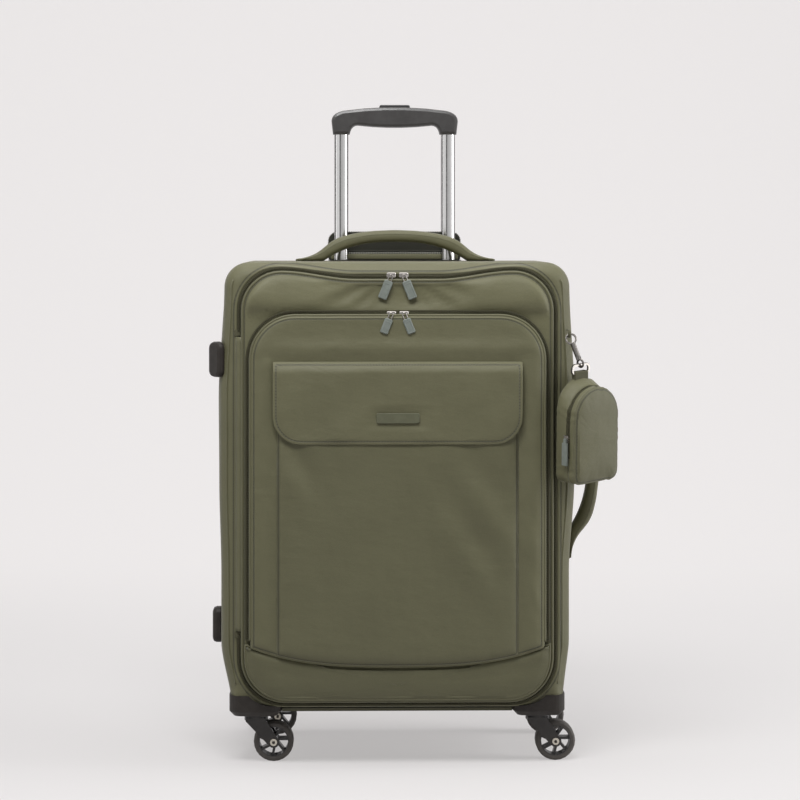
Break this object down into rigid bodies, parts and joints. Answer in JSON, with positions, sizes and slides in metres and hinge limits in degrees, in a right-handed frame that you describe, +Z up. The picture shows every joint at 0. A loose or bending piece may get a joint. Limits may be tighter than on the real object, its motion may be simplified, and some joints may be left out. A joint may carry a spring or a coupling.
{
  "type": "softside upright suitcase",
  "caption": "Softside upright spinner suitcase with a book-opening zip front, front pockets, trolley handle, carry handles and a clip-on pouch.",
  "frame": {"origin": "underside of the base plate, at the middle of the case's width and depth", "axes": "+Z up, towards the trolley grip; -Y towards the front with the pockets; +X towards the side with the carry handle and pouch"},
  "size_m": [0.5309, 0.3017, 0.8648],
  "materials": {
    "shell_fabric": "olive green twill nylon",
    "lining": "dark woven lining",
    "zip_tape": "woven zip tape with coil teeth",
    "moulded_plastic": "fine-textured moulding",
    "wheel_rubber": "satin",
    "tube_metal": "polished",
    "slider_metal": "polished",
    "pull_tab": "soft moulded rubber"
  },
  "bodies": {
    "root": {"case_shell": "shell_fabric", "lining_panel": "lining", "base_plate": "moulded_plastic", "main_zip_case": "zip_tape", "top_handle": "shell_fabric", "side_handle": "shell_fabric", "side_foot_lower": "moulded_plastic", "side_foot_upper": "moulded_plastic", "hook_loop": "shell_fabric", "trolley_cup": "moulded_plastic", "outer_tube_left": "tube_metal", "outer_tube_right": "tube_metal", "caster_housing_front_left": "moulded_plastic", "caster_housing_front_right": "moulded_plastic", "caster_housing_rear_left": "moulded_plastic", "caster_housing_rear_right": "moulded_plastic"},
    "slot_flap": {"trolley_flap": "lining"},
    "trolley_lower": {"middle_tube_left": "tube_metal", "middle_tube_right": "tube_metal"},
    "trolley_upper": {"inner_tube_left": "tube_metal", "inner_tube_right": "tube_metal", "grip": "moulded_plastic"},
    "button": {"release_button": "moulded_plastic", "release_yoke": "moulded_plastic"},
    "lid": {"lid_panel": "shell_fabric", "main_zip_lid": "zip_tape", "pocket_zip_lid": "zip_tape"},
    "main_slider_left": {"main_slider_left": "slider_metal"},
    "main_slider_right": {"main_slider_right": "slider_metal"},
    "main_pull_left": {"main_pull_left": "pull_tab"},
    "main_pull_right": {"main_pull_right": "pull_tab"},
    "front_pocket": {"pocket_panel": "shell_fabric", "pocket_zip_panel": "zip_tape", "patch_pocket": "shell_fabric"},
    "pocket_slider_left": {"pocket_slider_left": "slider_metal"},
    "pocket_slider_right": {"pocket_slider_right": "slider_metal"},
    "pocket_pull_left": {"pocket_pull_left": "pull_tab"},
    "pocket_pull_right": {"pocket_pull_right": "pull_tab"},
    "flap": {"pocket_flap": "shell_fabric", "label_plate": "pull_tab"},
    "fork_front_left": {"caster_fork_front_left": "moulded_plastic", "caster_axle_front_left": "slider_metal"},
    "fork_front_right": {"caster_fork_front_right": "moulded_plastic", "caster_axle_front_right": "slider_metal"},
    "fork_rear_left": {"caster_fork_rear_left": "moulded_plastic", "caster_axle_rear_left": "slider_metal"},
    "fork_rear_right": {"caster_fork_rear_right": "moulded_plastic", "caster_axle_rear_right": "slider_metal"},
    "wheel_front_left": {"caster_wheel_front_left": "wheel_rubber"},
    "wheel_front_right": {"caster_wheel_front_right": "wheel_rubber"},
    "wheel_rear_left": {"caster_wheel_rear_left": "wheel_rubber"},
    "wheel_rear_right": {"caster_wheel_rear_right": "wheel_rubber"},
    "hook": {"snap_hook": "slider_metal"},
    "gate": {"hook_gate": "slider_metal"},
    "eye": {"swivel_eye": "slider_metal"},
    "pouch": {"pouch_ring": "slider_metal", "pouch_back": "shell_fabric"},
    "pouch_front": {"pouch_front": "shell_fabric"},
    "pouch_slider": {"pouch_slider": "slider_metal"},
    "pouch_pull": {"pouch_pull": "pull_tab"}
  },
  "joints": [
    {"name": "slot_flap_fold", "type": "hinge", "parent": "root", "child": "slot_flap", "pos_m": [0, 0.1168, 0.5823], "axis": [-1, 0, 0], "range_deg": [0, 85]},
    {"name": "trolley_lower_slide", "type": "slide", "parent": "root", "child": "trolley_lower", "axis": [0, 0, 1], "range_m": [0, 0.188]},
    {"name": "trolley_upper_slide", "type": "slide", "parent": "trolley_lower", "child": "trolley_upper", "axis": [0, 0, 1], "range_m": [-0.187, 0]},
    {"name": "button_press", "type": "slide", "parent": "trolley_upper", "child": "button", "axis": [0, 0, 1], "range_m": [-0.003, 0], "stiffness_N_per_m": 400, "springref_m": 0.004},
    {"name": "lid_swing", "type": "hinge", "parent": "root", "child": "lid", "pos_m": [-0.206, -0.137, 0.296], "axis": [0, 0, 1], "range_deg": [-140, 0]},
    {"name": "main_slider_left_slide", "type": "slide", "parent": "lid", "child": "main_slider_left", "axis": [-1, 0, 0], "range_m": [0, 0.05]},
    {"name": "main_slider_right_slide", "type": "slide", "parent": "lid", "child": "main_slider_right", "axis": [1, 0, 0], "range_m": [0, 0.05]},
    {"name": "main_pull_left_lift", "type": "hinge", "parent": "main_slider_left", "child": "main_pull_left", "pos_m": [-0.008, -0.1323, 0.5653], "axis": [-1, 0, 0], "range_deg": [0, 110]},
    {"name": "main_pull_right_lift", "type": "hinge", "parent": "main_slider_right", "child": "main_pull_right", "pos_m": [0.008, -0.1323, 0.5653], "axis": [-1, 0, 0], "range_deg": [0, 110]},
    {"name": "front_pocket_open", "type": "hinge", "parent": "lid", "child": "front_pocket", "pos_m": [0, -0.149, 0.0618], "axis": [1, 0, 0], "range_deg": [0, 50]},
    {"name": "pocket_slider_left_slide", "type": "slide", "parent": "front_pocket", "child": "pocket_slider_left", "axis": [-1, 0, 0], "range_m": [0, 0.12]},
    {"name": "pocket_slider_right_slide", "type": "slide", "parent": "front_pocket", "child": "pocket_slider_right", "axis": [1, 0, 0], "range_m": [0, 0.12]},
    {"name": "pocket_pull_left_lift", "type": "hinge", "parent": "pocket_slider_left", "child": "pocket_pull_left", "pos_m": [-0.008, -0.1478, 0.5168], "axis": [-1, 0, 0], "range_deg": [0, 120]},
    {"name": "pocket_pull_right_lift", "type": "hinge", "parent": "pocket_slider_right", "child": "pocket_pull_right", "pos_m": [0.008, -0.1478, 0.5168], "axis": [-1, 0, 0], "range_deg": [0, 120]},
    {"name": "flap_lift", "type": "hinge", "parent": "front_pocket", "child": "flap", "pos_m": [0, -0.1596, 0.455], "axis": [-1, 0, 0], "range_deg": [0, 150]},
    {"name": "swivel_front_left", "type": "hinge", "parent": "root", "child": "fork_front_left", "pos_m": [-0.1836, -0.088, -0.011], "axis": [0, 0, 1], "continuous": true},
    {"name": "swivel_front_right", "type": "hinge", "parent": "root", "child": "fork_front_right", "pos_m": [0.1836, -0.088, -0.011], "axis": [0, 0, 1], "continuous": true},
    {"name": "swivel_rear_left", "type": "hinge", "parent": "root", "child": "fork_rear_left", "pos_m": [-0.1836, 0.088, -0.011], "axis": [0, 0, 1], "continuous": true},
    {"name": "swivel_rear_right", "type": "hinge", "parent": "root", "child": "fork_rear_right", "pos_m": [0.1836, 0.088, -0.011], "axis": [0, 0, 1], "continuous": true},
    {"name": "roll_front_left", "type": "hinge", "parent": "fork_front_left", "child": "wheel_front_left", "pos_m": [-0.1606, -0.088, -0.042], "axis": [0, 1, 0], "continuous": true},
    {"name": "roll_front_right", "type": "hinge", "parent": "fork_front_right", "child": "wheel_front_right", "pos_m": [0.2066, -0.088, -0.042], "axis": [0, 1, 0], "continuous": true},
    {"name": "roll_rear_left", "type": "hinge", "parent": "fork_rear_left", "child": "wheel_rear_left", "pos_m": [-0.1606, 0.088, -0.042], "axis": [0, 1, 0], "continuous": true},
    {"name": "roll_rear_right", "type": "hinge", "parent": "fork_rear_right", "child": "wheel_rear_right", "pos_m": [0.2066, 0.088, -0.042], "axis": [0, 1, 0], "continuous": true},
    {"name": "hook_swing", "type": "hinge", "parent": "root", "child": "hook", "pos_m": [0.222, -0.1285, 0.489], "axis": [-1, 0, 0], "range_deg": [0, 60]},
    {"name": "gate_open", "type": "hinge", "parent": "hook", "child": "gate", "pos_m": [0.21929, -0.13065, 0.47889], "axis": [0, 0.9781, -0.2079], "range_deg": [0, 20], "stiffness_Nm_per_rad": 0.02, "springref_deg": -11.46},
    {"name": "hook_swivel", "type": "hinge", "parent": "hook", "child": "eye", "pos_m": [0.222, -0.1285, 0.489], "axis": [-0.342, 0.1954, 0.9192], "range_deg": [-3, 25]},
    {"name": "pouch_swing", "type": "hinge", "parent": "eye", "child": "pouch", "pos_m": [0.23578, -0.13576, 0.44699], "axis": [0.6428, -0.7603, -0.0934], "range_deg": [0, 35]},
    {"name": "pouch_front_open", "type": "hinge", "parent": "pouch", "child": "pouch_front", "pos_m": [0.25828, -0.14456, 0.29862], "axis": [0.766, 0.638, 0.0783], "range_deg": [0, 90]},
    {"name": "pouch_slider_slide", "type": "slide", "parent": "pouch", "child": "pouch_slider", "axis": [0, -0.1219, 0.9925], "range_m": [-0.025, 0.016]},
    {"name": "pouch_pull_lift", "type": "hinge", "parent": "pouch_slider", "child": "pouch_pull", "pos_m": [0.21121, -0.16658, 0.35737], "axis": [-0.6428, 0.7603, 0.0934], "range_deg": [0, 90]}
  ]
}
